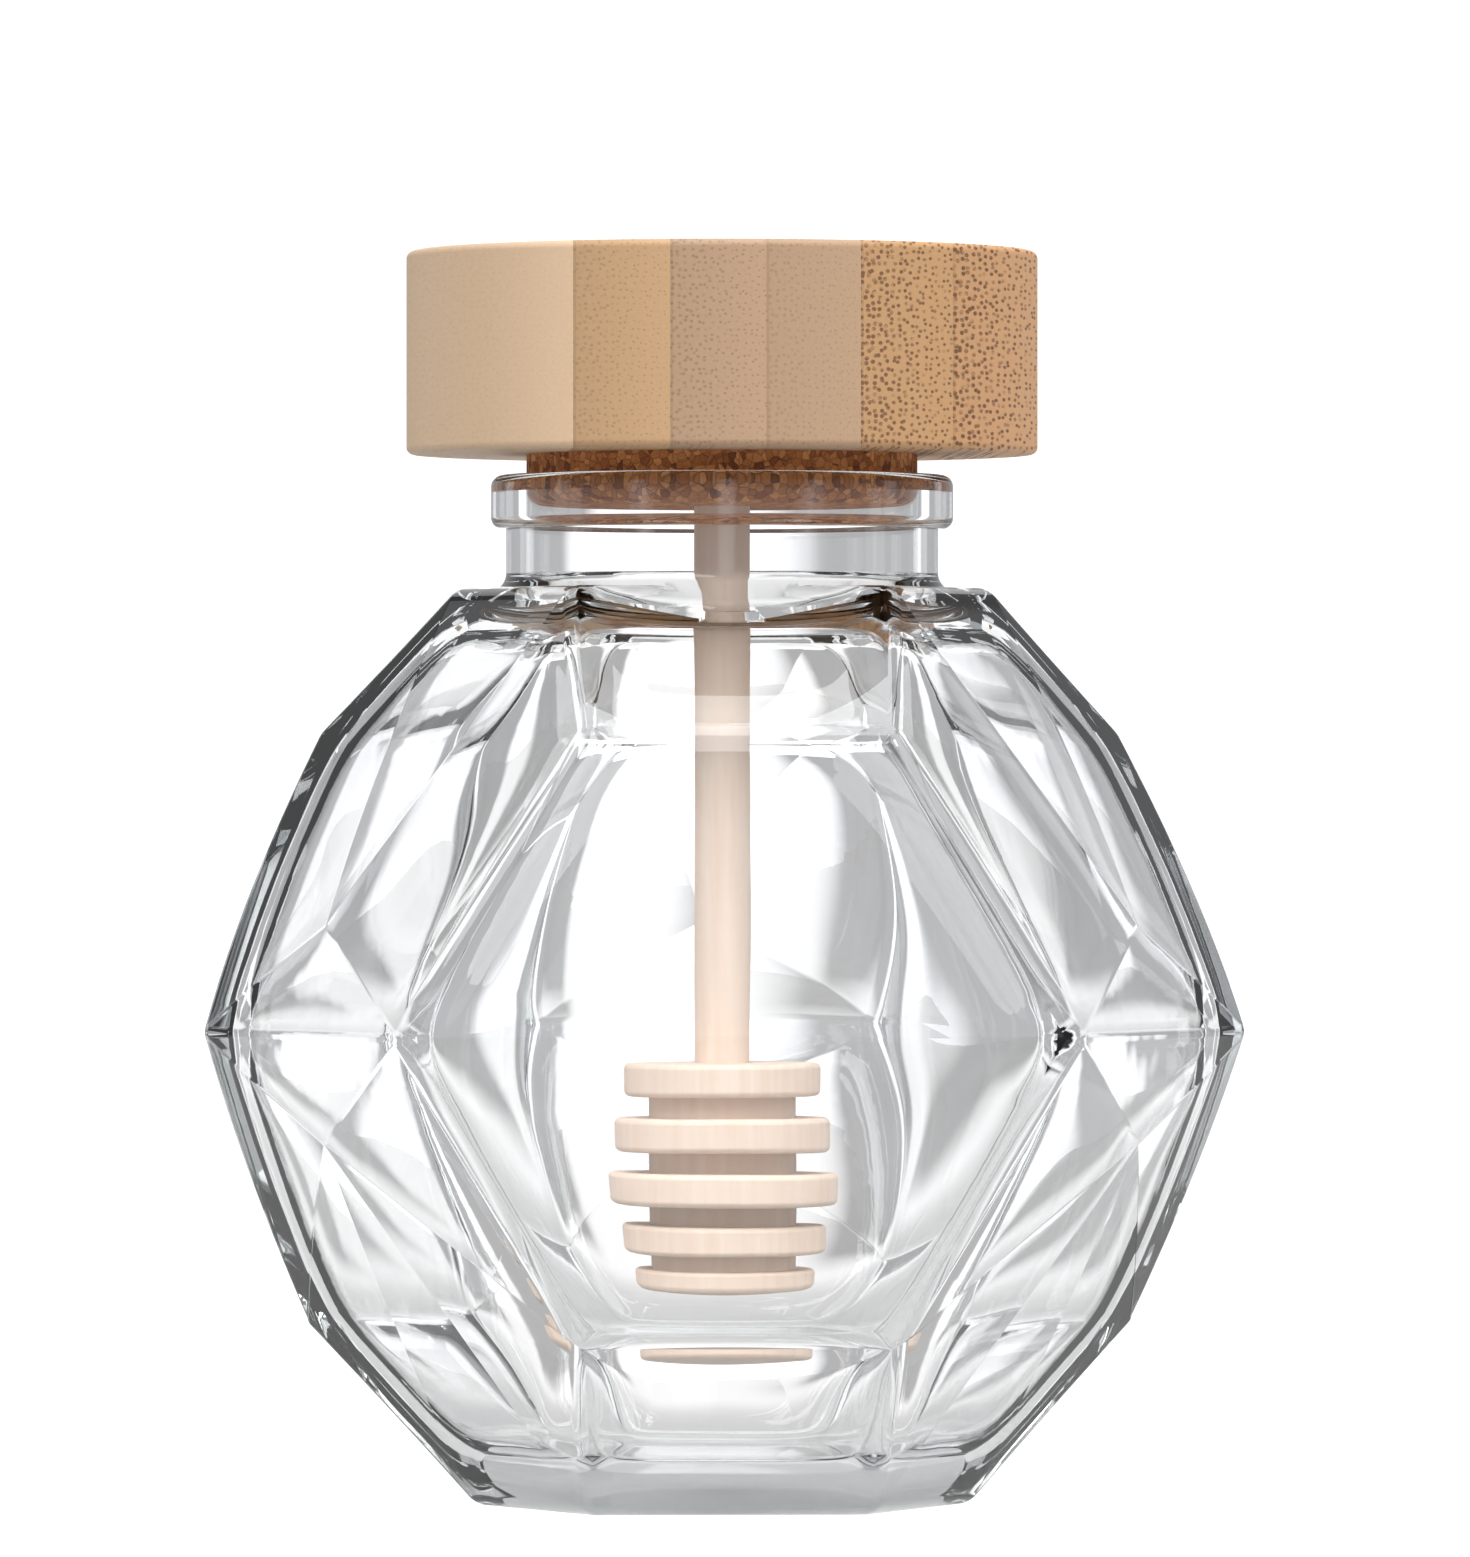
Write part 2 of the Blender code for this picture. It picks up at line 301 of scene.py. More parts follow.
def cut_levels(piece):
    choose(piece)
    bpy.ops.object.mode_set(mode="EDIT")
    for level in range(math.ceil(-BASE_DROP / LEVEL_STEP), math.ceil(SHOULDER_RISE / LEVEL_STEP)):
        bpy.ops.mesh.select_all(action="SELECT")
        bpy.ops.mesh.bisect(
            plane_co=(0, 0, level * LEVEL_STEP), plane_no=(0, 0, 1), threshold=ON_PLANE
        )
    bpy.ops.object.mode_set(mode="OBJECT")


def bow_and_lift(piece):
    """Narrow each level and stand the body on the table, by moving the points in code."""
    for vertex in piece.data.vertices:
        share = NARROWER_ABOVE if vertex.co.z > 0 else NARROWER_BELOW
        kept = 1 - share * (vertex.co.z / HEX_RISE) ** 2
        vertex.co.x *= kept
        vertex.co.y *= kept
        vertex.co.z += EQUATOR_Z
    piece.data.update()


cut_levels(jar)
bow_and_lift(jar)
print("the body is", [round(side / MM, 1) for side in jar.dimensions], "mm")

# %% [markdown]
# ## The blown hollow
#
# Inside, no mould touched the glass: air pushed it outwards, so the hollow follows the facets only
# softly, with wide rounded edges and a slight waviness that makes the light swim at the walls.
# The hollow starts as the same skin moved inwards by the wall. A voxel remesh gives it even small
# faces, smoothing melts its edges, and a faint cloud pattern moves its surface in and out.

# %% Shrink, remesh, smooth and ripple the hollow
WALL = 3.6 * MM
SHOULDER_WALL = 4.0 * MM
FLOOR = 5.0 * MM
HOLLOW_VOXEL = 1.1 * MM
SMOOTH_PASSES = 120
SMOOTH_SHARE = 0.5  # how far a pass moves each point towards the middle of its neighbours
RIPPLE_SIZE = 10 * MM
RIPPLE_DEPTH = 0.06 * MM


def blown_hollow():
    hollow = skin_over_corners("hollow")
    choose(hollow)
    bpy.ops.object.mode_set(mode="EDIT")
    bpy.ops.mesh.select_all(action="SELECT")
    bpy.ops.transform.shrink_fatten(value=-WALL, use_even_offset=True)
    bpy.ops.mesh.select_all(action="SELECT")
    bpy.ops.mesh.bisect(
        plane_co=(0, 0, FLOOR - BASE_DROP), plane_no=(0, 0, -1), use_fill=True, clear_outer=True
    )
    bpy.ops.object.mode_set(mode="OBJECT")
    remesh = hollow.modifiers.new("even faces", "REMESH")
    remesh.mode = "VOXEL"
    remesh.voxel_size = HOLLOW_VOXEL
    smooth = hollow.modifiers.new("melt", "SMOOTH")
    smooth.factor = SMOOTH_SHARE
    smooth.iterations = SMOOTH_PASSES
    clouds = bpy.data.textures.new("ripple", "CLOUDS")
    clouds.noise_scale = RIPPLE_SIZE
    clouds.noise_depth = 0  # wide waves only, as finer ones would show as jagged patches
    ripple = hollow.modifiers.new("ripple", "DISPLACE")
    ripple.texture = clouds
    ripple.texture_coords = "LOCAL"
    ripple.strength = RIPPLE_DEPTH
    apply_modifiers(hollow)
    bow_and_lift(hollow)
    return hollow


hollow = blown_hollow()
print("the hollow is", [round(side / MM, 1) for side in hollow.dimensions], "mm before its neck is cut")

# %% [markdown]
# ## The neck and its bore
#
# The neck is a short tube with a thick bead at the rim. Its foot turns out over the shoulder in a
# fillet, and the bore flares where it opens into the hollow. Both are turned on the lathe.
# The hollow and the bore are then cut away, with the neck joined on between the two cuts.

# %% Turn the neck and cut the jar hollow
SHOULDER_Z = EQUATOR_Z + SHOULDER_RISE
RIM_Z = jar_high.z
BEAD_BOTTOM_Z = 94.2 * MM
BEAD_OUT = 22.35 * MM
BEAD_ROUNDING = 1.1 * MM
NECK_OUT = 20.9 * MM
FOOT_RADIUS = 1.6 * MM
FOOT_RISE = 0.4 * MM
FOOT_SLOPE = 50
FOOT_DEPTH = 3.0 * MM
BORE = 19.0 * MM
LIP_ROUNDING = 0.9 * MM
FLARE_RADIUS = 2.0 * MM
OVERCUT = 2.0 * MM
NECK_STEPS = 144


def turned_out_foot(out, level, radius):
    """A fillet that turns a wall outwards above a level, runs on down through it, and ends on the axis."""
    slope = math.radians(FOOT_SLOPE)
    middle = level + FOOT_RISE + radius * math.cos(slope)
    fillet = arc(out + radius, middle, radius, 180, 270 - FOOT_SLOPE)
    end_out, end = fillet[-1]
    return [*fillet, (end_out + FOOT_DEPTH / math.tan(slope), end - FOOT_DEPTH), (0, end - FOOT_DEPTH)]


def neck_outline():
    bead_out = BEAD_OUT - BEAD_ROUNDING
    return [
        (0, RIM_Z),
        *arc(bead_out, RIM_Z - BEAD_ROUNDING, BEAD_ROUNDING, 90, 0),
        *arc(bead_out, BEAD_BOTTOM_Z + BEAD_ROUNDING, BEAD_ROUNDING, 0, -90),
        (NECK_OUT, BEAD_BOTTOM_Z),
        *turned_out_foot(NECK_OUT, SHOULDER_Z, FOOT_RADIUS),
    ]


def bore_outline():
    above = RIM_Z + OVERCUT
    return [
        (0, above),
        (BORE + LIP_ROUNDING, above),
        *arc(BORE + LIP_ROUNDING, RIM_Z - LIP_ROUNDING, LIP_ROUNDING, 90, 180),
        *turned_out_foot(BORE, SHOULDER_Z - SHOULDER_WALL, FLARE_RADIUS),
    ]


def combine(target, helper, operation):
    """Join or cut with a Boolean, apply it and remove the helper."""
    boolean = target.modifiers.new("boolean", "BOOLEAN")
    boolean.operation = operation
    boolean.object = helper
    boolean.solver = "MANIFOLD"
    apply_modifiers(target)
    bpy.data.objects.remove(helper)


neck = turn_on_lathe("neck", neck_outline(), NECK_STEPS)
bore = turn_on_lathe("bore", bore_outline(), NECK_STEPS)
combine(jar, hollow, "DIFFERENCE")
combine(jar, neck, "UNION")
combine(jar, bore, "DIFFERENCE")
print("the glass has", len(jar.data.polygons), "faces after its two cuts and one join")

# %% [markdown]
# ## Flat facets and round edges
#
# Plain smooth shading would bend the light over a whole facet, and make the glass look swollen.
# Shading by angle keeps the real creases, and a modifier that weighs normals by area lets each large
# facet stay flat, so that only the narrow rounding beside it looks round. Every piece gets the same.

# %% Shade the facets flat and their edges round
CREASE_OVER = math.radians(25)


def weigh_normals(piece, crease):
    """Smooth shading in which each large facet stays flat, up to the rounding beside it."""
    choose(piece)
    bpy.ops.object.shade_smooth_by_angle(angle=crease)
    weighted = piece.modifiers.new("facets", "WEIGHTED_NORMAL")
    weighted.keep_sharp = True
    apply_modifiers(piece)


weigh_normals(jar, CREASE_OVER)
print("an edge of more than", round(math.degrees(CREASE_OVER)), "degrees stays a crease")

# %% [markdown]
# ## Materials from nodes
#
# Every finish is made of nodes that read Object coordinates, so a pattern is fixed in the wood or
# cork and looks cut through wherever the surface lies.
# One helper adds a node, sets its inputs, and links any that come from another node.


# %% A helper for node trees
def new_material(name):
    material = bpy.data.materials.new(name)
    material.use_nodes = True
    return material, material.node_tree, material.node_tree.nodes["Principled BSDF"]


def add_node(tree, kind, inputs=None, **settings):
    """A node with its settings made and its inputs set to values or linked to other nodes' outputs."""
    node = tree.nodes.new(kind)
    for setting, value in settings.items():
        setattr(node, setting, value)
    for name, value in (inputs or {}).items():
        if isinstance(value, bpy.types.NodeSocket):
            tree.links.new(value, node.inputs[name])
        else:
            node.inputs[name].default_value = value
    return node


# %% [markdown]
# ## Numbers and colours in nodes
#
# Most patterns are worked out as plain numbers: a distance, a share of a strip, a noise.
# Two helpers spread such a number over a range, one straight and one with a soft start and end.
# The others make a noise, stretch it along the grain, shade a relief, or turn a number into a colour.
# A tone is written as it is read on a screen, from 0 to 255, and made linear, as shaders add up light.


# %% Helpers for numbers and colours
def maths(tree, operation, first, second=0.0, clamp=False):
    made = add_node(tree, "ShaderNodeMath", {0: first, 1: second}, operation=operation, use_clamp=clamp)
    return made.outputs["Value"]


def spread(tree, value, before, after, start=0.0, end=1.0, course="LINEAR"):
    """A straight change from one number to another while a value goes from start to end."""
    limits = {"Value": value, "From Min": start, "From Max": end, "To Min": before, "To Max": after}
    return add_node(tree, "ShaderNodeMapRange", limits, interpolation_type=course).outputs["Result"]


def fade(tree, value, before, after, start, end):
    """The same change, with a soft start and end."""
    return spread(tree, value, before, after, start, end, "SMOOTHSTEP")


def noise(tree, place, width, detail=2.0):
    """A cloudy pattern of numbers whose waves are about as wide as given."""
    inputs = {"Vector": place, "Scale": 1 / width, "Detail": detail}
    return add_node(tree, "ShaderNodeTexNoise", inputs).outputs["Fac"]


def squeezed(tree, place, shares):
    """A place with each direction scaled, so that a pattern is stretched where the share is small."""
    return add_node(tree, "ShaderNodeMapping", {"Vector": place, "Scale": shares}).outputs["Vector"]


def mix(tree, share, first, second):
    return add_node(tree, "ShaderNodeMix", {0: share, 6: first, 7: second}, data_type="RGBA").outputs[2]


def scaled(tree, colour, share):
    made = add_node(tree, "ShaderNodeVectorMath", {0: colour, "Scale": share}, operation="SCALE")
    return made.outputs["Vector"]


def relief(tree, shader, height, strength, depth, pressed_in=False):
    """Shading as if the surface rose by a depth times the height. A strength of 1 shades it in full."""
    inputs = {"Height": height, "Strength": strength, "Distance": depth}
    made = add_node(tree, "ShaderNodeBump", inputs, invert=pressed_in)
    tree.links.new(made.outputs["Normal"], shader.inputs["Normal"])


def ramp(tree, factor, stops, interpolation="LINEAR"):
    """A colour ramp from a list of (position, colour)."""
    node = add_node(tree, "ShaderNodeValToRGB", {"Fac": factor})
    node.color_ramp.interpolation = interpolation
    elements = node.color_ramp.elements
    while len(elements) > 1:
        elements.remove(elements[-1])
    elements[0].position, elements[0].color = stops[0][0], (*stops[0][1], 1)
    for position, colour in stops[1:]:
        elements.new(position).color = (*colour, 1)
    return node.outputs["Color"]


def linear(red, green, blue):
    """A colour read on a screen from 0 to 255, as the linear values that a shader uses."""
    shares = (red / 255, green / 255, blue / 255)
    return tuple(s / 12.92 if s <= 0.04045 else ((s + 0.055) / 1.055) ** 2.4 for s in shares)


print("a middle grey of 128 on a screen is", round(linear(128, 128, 128)[0], 2), "in a shader")

# %% [markdown]
# ## Clear glass
#
# Soda-lime glass bends light by 1.52, and takes a little more red than green, which shows only
# where light travels far through an edge. A volume does that, because it knows the distance.
# Lamps would be cut off by the glass in a short render, so it lets their shadow rays through.

# %% Make the glass
GLASS_IOR = 1.52
GLASS_TINT = (0.885, 0.90, 0.902)
GLASS_DENSITY = 55  # absorption per metre, times what the tint lacks of white


def clear_glass():
    material, tree, shader = new_material("clear glass")
    shader.inputs["Base Color"].default_value = (1, 1, 1, 1)
    shader.inputs["Roughness"].default_value = 0.0
    shader.inputs["IOR"].default_value = GLASS_IOR
    shader.inputs["Transmission Weight"].default_value = 1.0
    output = tree.nodes["Material Output"]
    lamps_pass = add_node(tree, "ShaderNodeBsdfTransparent")
    path = add_node(tree, "ShaderNodeLightPath")
    surface = add_node(
        tree,
        "ShaderNodeMixShader",
        {0: path.outputs["Is Shadow Ray"], 1: shader.outputs["BSDF"], 2: lamps_pass.outputs["BSDF"]},
    )
    tree.links.new(surface.outputs["Shader"], output.inputs["Surface"])
    tint = add_node(tree, "ShaderNodeVolumeAbsorption")
    tint.inputs["Color"].default_value = (*GLASS_TINT, 1)
    tint.inputs["Density"].default_value = GLASS_DENSITY
    tree.links.new(tint.outputs["Volume"], output.inputs["Volume"])
    return material


hand_over(jar, "glass_jar", clear_glass())

# %% [markdown]
# ## The bamboo lid
#
# The lid is turned from a board of bamboo strips glued side by side, so its strips run from front to back.
# It is a low cylinder with slightly broken edges.

# %% Turn the lid
LID_EDGE = 0.7 * MM
LID_STEPS = 192


def lid_outline():
    out = lid_high.x - LID_EDGE
    return [
        (0, lid_high.z),
        *arc(out, lid_high.z - LID_EDGE, LID_EDGE, 90, 0),
        *arc(out, lid_low.z + LID_EDGE, LID_EDGE, 0, -90),
        (0, lid_low.z),
    ]


lid = turn_on_lathe("lid_bamboo", lid_outline(), LID_STEPS)
weigh_normals(lid, CREASE_OVER)

# %% [markdown]
# ## Bamboo, strip by strip
#
# A cane's fibres run in dark bundles that are crowded near its skin and rare near its hollow.
# The strips are glued skin to hollow, so on the end grain each one starts dark with wide pores
# and grows lighter to the right, where its pores are slim. Every strip is from another cane and has
# its own tone. Each tone and strength is a step of a colour ramp, which a strip's number looks up.

# %% The strips
STRIP_PITCH = 9.05 * MM
FIRST_SEAM = -15.2 * MM
STRIPS_BEFORE = 1  # strips to the left of the first seam
STRIP_TONES = (
    linear(201, 172, 141),
    linear(184, 148, 109),
    linear(176, 144, 115),
    linear(179, 147, 117),
    linear(194, 150, 105),
    linear(206, 157, 111),
)
STRIPS_START = 0.05 - STRIPS_BEFORE  # in pitches from the first seam: no further seam shows at the rim
STRIPS_END = len(STRIP_TONES) - STRIPS_BEFORE - 0.001
SEAM_SHARE, SEAM_DARK = 0.03, 0.86  # a seam's share of a strip, and what it leaves of the light
LIGHT_LEFT, LIGHT_RIGHT = 0.90, 1.03  # what a strip's tone is multiplied by at its left and right


def strip_places(tree, sideways):
    """Where a place lies across its strip, from 0 to 1, and its strip's number as a ramp's position."""
    strips = maths(tree, "DIVIDE", maths(tree, "SUBTRACT", sideways, FIRST_SEAM), STRIP_PITCH)
    strips = maths(tree, "MAXIMUM", maths(tree, "MINIMUM", strips, STRIPS_END), STRIPS_START)
    middle = maths(tree, "ADD", maths(tree, "FLOOR", strips), STRIPS_BEFORE + 0.5)
    return maths(tree, "FRACT", strips), maths(tree, "DIVIDE", middle, len(STRIP_TONES))


def by_strip(tree, number, values):
    """A colour ramp that gives each strip its own value."""
    stops = [(index / len(values), value) for index, value in enumerate(values)]
    return ramp(tree, number, stops, "CONSTANT")


def strip_light(tree, across):
    """A strip's slow change of light from left to right, with a thin dark seam at its left."""
    seam = spread(tree, maths(tree, "LESS_THAN", across, SEAM_SHARE), 1.0, SEAM_DARK)
    return maths(tree, "MULTIPLY", spread(tree, across, LIGHT_LEFT, LIGHT_RIGHT), seam)


print(len(STRIP_TONES), "strips of", round(STRIP_PITCH / MM, 1), "mm cover the lid")

# %% [markdown]
# ## Pores in the end grain
#
# The pores are the dark middles of cells laid out in X and Z only, so each one runs straight
# through the lid along Y, as the fibres do. The same pores are dots on the front, short dashes where
# the round side turns away, and lines on top. A noise stretched along Y fades them here and there,
# so that no line runs the whole way, and each pore is pressed in a little.

# %% The pores
PORE_STRENGTHS = (0.08, 0.30, 0.40, 0.26, 0.95, 1.0)  # one for each strip
PORE_PITCH = 0.62 * MM
PORE_UNEVEN = 0.70  # from 0, in straight rows, to 1, strewn at random
PORE_WIDE, PORE_SLIM = 0.30, 0.16  # how far a pore reaches at a strip's left and right, in pitches
PORE_EDGE = 0.14  # its soft edge, in pitches
PORE_MORE = 0.12  # what the strongest pores reach further
FADED = 0.25  # what is left of a pore where it fades most
FADED_UP_TO, CLEAR_FROM = 0.35, 0.55  # values of the noise


def pores(tree, split, across, strength, along):
    """How deep in a pore each place lies, from 0 to 1."""
    end_grain = add_node(tree, "ShaderNodeCombineXYZ", {0: split["X"], 1: split["Z"]}).outputs[0]
    inputs = {"Vector": end_grain, "Scale": 1 / PORE_PITCH, "Randomness": PORE_UNEVEN}
    cells = add_node(tree, "ShaderNodeTexVoronoi", inputs, voronoi_dimensions="2D")
    more = maths(tree, "MULTIPLY", strength, PORE_MORE)
    reach = maths(tree, "ADD", spread(tree, across, PORE_WIDE, PORE_SLIM), more)
    inside = maths(tree, "SUBTRACT", reach, cells.outputs["Distance"])
    pore = maths(tree, "DIVIDE", inside, PORE_EDGE, clamp=True)
    kept = spread(tree, noise(tree, along, PORE_PITCH), FADED, 1.0, FADED_UP_TO, CLEAR_FROM)
    return maths(tree, "MULTIPLY", pore, kept)


print("a pore stands every", round(PORE_PITCH / MM, 2), "mm")

# %% [markdown]
# ## The lid's finish
#
# Strips, pores and a fine streaky noise along the fibres are put together into one material.
# The lid is plain sanded wood without lacquer, so it is rather rough.

# %% Bamboo
PORE_TONE = linear(104, 66, 36)
PORE_DARKNESS = 0.9  # the pore tone's share in the middle of the strongest pores
PORE_DEPTH, PORE_RELIEF = 0.12 * MM, 0.5  # how deep the pores are, and how strongly that is shaded
FIBRE_WIDTH, FIBRE_DETAIL = 0.30 * MM, 3.0
FIBRE_STRETCH = 0.05  # the grain's detail along Y, as a share of that across it
FIBRE_DARK, FIBRE_LIGHT = 0.92, 1.08
BAMBOO_ROUGHNESS = 0.58


def bamboo():
    material, tree, shader = new_material("bamboo")
    place = add_node(tree, "ShaderNodeTexCoord").outputs["Object"]
    split = add_node(tree, "ShaderNodeSeparateXYZ", {0: place}).outputs
    across, number = strip_places(tree, split["X"])
    tone = by_strip(tree, number, STRIP_TONES)
    strength = by_strip(tree, number, [(share, share, share) for share in PORE_STRENGTHS])
    along = squeezed(tree, place, (1, FIBRE_STRETCH, 1))
    fibres = spread(tree, noise(tree, along, FIBRE_WIDTH, FIBRE_DETAIL), FIBRE_DARK, FIBRE_LIGHT)
    wood = scaled(tree, tone, maths(tree, "MULTIPLY", strip_light(tree, across), fibres))
    pore = pores(tree, split, across, strength, along)
    darkness = maths(tree, "MULTIPLY", pore, maths(tree, "MULTIPLY", strength, PORE_DARKNESS))
    tree.links.new(mix(tree, darkness, wood, (*PORE_TONE, 1)), shader.inputs["Base Color"])
    relief(tree, shader, maths(tree, "MULTIPLY", pore, strength), PORE_RELIEF, PORE_DEPTH, pressed_in=True)
    shader.inputs["Roughness"].default_value = BAMBOO_ROUGHNESS
    return material


hand_over(lid, "bamboo_lid", bamboo())

# %% [markdown]
# ## The cork plug
#
# The plug is a low disc glued under the lid, with its lower edge rounded so that it slides in easily.
# It could be cut from a cylinder and bevelled, but the lathe gives the taper and the rounding together.
# Real cork is squeezed by the neck, so here it reaches a hair into the glass and leaves no gap of air,
# which clear glass would show as a bright ring. The stick is let into it from below.

# %% Turn the cork
CORK_ROUNDING = 1.8 * MM
CORK_TOP_OUT = cork_high.x
CORK_STEPS = 160
CORK_INTO_BORE = 0.05 * MM
STICK_OUT = 2.7 * MM


def cork_outline():
    corner = arc(BORE + CORK_INTO_BORE - CORK_ROUNDING, cork_low.z + CORK_ROUNDING, CORK_ROUNDING, 0, -90)
    return [
        (0, lid_low.z),
        (CORK_TOP_OUT, lid_low.z),
        (CORK_TOP_OUT, RIM_Z),
        (BORE + CORK_INTO_BORE, RIM_Z - LIP_ROUNDING),
        *corner,
        (0, cork_low.z),
    ]


cork = turn_on_lathe("cork_plug_granules", cork_outline(), CORK_STEPS)
weigh_normals(cork, CREASE_OVER)

# %% [markdown]
# ## Cork from pressed granules
#
# This is pressed cork: crumbs of many tones, from dark brown to pale orange, glued into a block.
# Voronoi cells are a good stand-in for the crumbs, as each cell carries one random tone.
# A second pattern of the same cells gives the distance to their edges, and there a thin dark
# joint is drawn and pressed in, so that each crumb catches its own light.

# %% Cork
GRANULE = 0.75 * MM
GRANULE_TONES = (
    (0.15, linear(128, 74, 40)),
    (0.35, linear(176, 108, 58)),
    (0.6, linear(196, 126, 72)),
    (0.85, linear(218, 150, 92)),
)
JOINT_SHARE, JOINT_DARK = 0.08, 0.55  # width of a joint, in granules, and what it leaves of the light
SPECK = 0.20 * MM  # size of the fine mottling within a granule
SPECK_DARK, SPECK_LIGHT = 0.75, 1.25
CORK_DEPTH, CORK_RELIEF = 0.2 * MM, 0.7
CORK_ROUGHNESS = 0.9


def cork_finish():
    material, tree, shader = new_material("cork")
    place = add_node(tree, "ShaderNodeTexCoord").outputs["Object"]
    cells = {"Vector": place, "Scale": 1 / GRANULE}
    granules = add_node(tree, "ShaderNodeTexVoronoi", cells)
    edges = add_node(tree, "ShaderNodeTexVoronoi", cells, feature="DISTANCE_TO_EDGE")
    tone = ramp(tree, granules.outputs["Color"], GRANULE_TONES)
    joint = spread(tree, edges.outputs["Distance"], 0.0, 1.0, 0.0, JOINT_SHARE)
    specks = noise(tree, place, SPECK)
    mottled = spread(tree, specks, SPECK_DARK, SPECK_LIGHT)
    light = maths(tree, "MULTIPLY", spread(tree, joint, JOINT_DARK, 1.0), mottled)
    tree.links.new(scaled(tree, tone, light), shader.inputs["Base Color"])
    relief(tree, shader, maths(tree, "MULTIPLY", joint, specks), CORK_RELIEF, CORK_DEPTH)
    shader.inputs["Roughness"].default_value = CORK_ROUGHNESS
    return material


hand_over(cork, "cork_plug", cork_finish())

# %% [markdown]
# ## The dipper
#
# The dipper is turned from one piece of beech: a thin stick, and a head of five discs that are
# widest in the middle, with grooves between them that hold the honey.
# The discs could be five cylinders on a rod, but the real one is one piece of wood, so one outline
# is worked out by a loop over the discs and spun once. Each disc's edges are slightly rounded.

# %% Turn the dipper
DISC_OUT = (9.45 * MM, 10.4 * MM, 11.25 * MM, 10.2 * MM, 9.1 * MM)
DISC_THICK = 3.2 * MM
DISC_PITCH = 5.2 * MM
GROOVE_OUT = 7.1 * MM
DISC_EDGE = 0.6 * MM
END_DROP = 0.9 * MM  # the lowest disc's underside hangs down by this much in its middle
END_EDGE = 1.2 * MM
END_STEPS = 4
DIPPER_STEPS = 96


def dipper_outline():
    end = dipper_low.z
    head_top = end + END_DROP + (len(DISC_OUT) - 1) * DISC_PITCH + DISC_THICK
    points = [(0, dipper_high.z), (STICK_OUT, dipper_high.z)]
    core = STICK_OUT
    for number, out in enumerate(DISC_OUT):
        top = head_top - number * DISC_PITCH
        bottom = top - DISC_THICK
        last = number == len(DISC_OUT) - 1
        under = END_EDGE if last else DISC_EDGE
        points.append((core, top))
        points += arc(out - DISC_EDGE, top - DISC_EDGE, DISC_EDGE, 90, 0)
        points += arc(out - under, bottom + under, under, 0, -90)
        core = GROOVE_OUT
        if not last:
            points.append((core, bottom))
    edge = DISC_OUT[-1] - END_EDGE
    shares = [step / END_STEPS for step in reversed(range(END_STEPS))]
    points += [(edge * share, end + END_DROP * share**2) for share in shares]
    return points


dipper = turn_on_lathe("dipper_wood", dipper_outline(), DIPPER_STEPS)
weigh_normals(dipper, CREASE_OVER)

# %% [markdown]
# ## Pale beech
#
# Beech is nearly plain, with faint growth lines and many tiny dark flecks along its grain.
# A noise squeezed across the stick and stretched along it gives the lines, and a finer one the flecks.
# As both read the wood's own place, the discs' round sides show lines and their flat tops show spots.

# %% Pale wood
WOOD_STRETCH = 0.05  # the grain's detail along the stick, as a share of that across it
GRAIN_WIDTH, GRAIN_DETAIL = 1.0 * MM, 4.0
GRAIN_TONES = ((0.3, linear(211, 188, 170)), (0.7, linear(217, 199, 184)))
FLECK_WIDTH = 0.25 * MM
FLECK_DARK = 0.90
FLECK_FROM, FLECK_FULL = 0.62, 0.8  # values of the fine noise where a fleck starts and is full
WOOD_DEPTH, WOOD_RELIEF = 0.05 * MM, 0.2
WOOD_ROUGHNESS = 0.55


def pale_wood():
    material, tree, shader = new_material("pale wood")
    place = add_node(tree, "ShaderNodeTexCoord").outputs["Object"]
    along = squeezed(tree, place, (1, 1, WOOD_STRETCH))
    tone = ramp(tree, noise(tree, along, GRAIN_WIDTH, GRAIN_DETAIL), GRAIN_TONES)
    fine = noise(tree, along, FLECK_WIDTH)
    fleck = spread(tree, fine, 1.0, FLECK_DARK, FLECK_FROM, FLECK_FULL)
    tree.links.new(scaled(tree, tone, fleck), shader.inputs["Base Color"])
    relief(tree, shader, fine, WOOD_RELIEF, WOOD_DEPTH)
    shader.inputs["Roughness"].default_value = WOOD_ROUGHNESS
    return material


hand_over(dipper, "dipper", pale_wood())

# %% [markdown]
# ## Cards round the glass
#
# Clear glass has no colour of its own, and shows only what it bends and mirrors.
# A photographer stands grey cards round it, and the thick walls gather them as soft grey streaks.
# Here eight wide cards stand evenly all round, with narrow white gaps between them, so a straight
# view through the jar from the front, a side, the back or a corner meets a gap.
# The cards are a wave round the jar, which the floor and the background both use.

# %% The cards as a wave
CARDS = 8
CARD_GREY = 0.34  # share of the white's brightness
CARD_FULL, CARD_EDGE = 0.70, 0.94  # where the wave, -1 amid a card and 1 amid a gap, turns white


def card_ring(tree, place, white):
    """Brightness of the cards and gaps, by where a place or a direction lies round the jar."""
    parts = add_node(tree, "ShaderNodeSeparateXYZ", {0: place}).outputs
    turn = maths(tree, "ARCTAN2", parts["X"], parts["Y"])
    wave = maths(tree, "COSINE", maths(tree, "MULTIPLY", turn, CARDS))
    return fade(tree, wave, CARD_GREY * white, white, CARD_FULL, CARD_EDGE)


def camera_sees(tree, plain, studio):
    """One number where the camera looks directly, and another for every other ray."""
    seen = add_node(tree, "ShaderNodeLightPath").outputs["Is Camera Ray"]
    return add_node(tree, "ShaderNodeMix", {0: seen, 2: studio, 3: plain}, data_type="FLOAT").outputs[0]


print("the white gaps are", round(2 * math.degrees(math.acos(CARD_EDGE)) / CARDS, 1), "degrees wide")

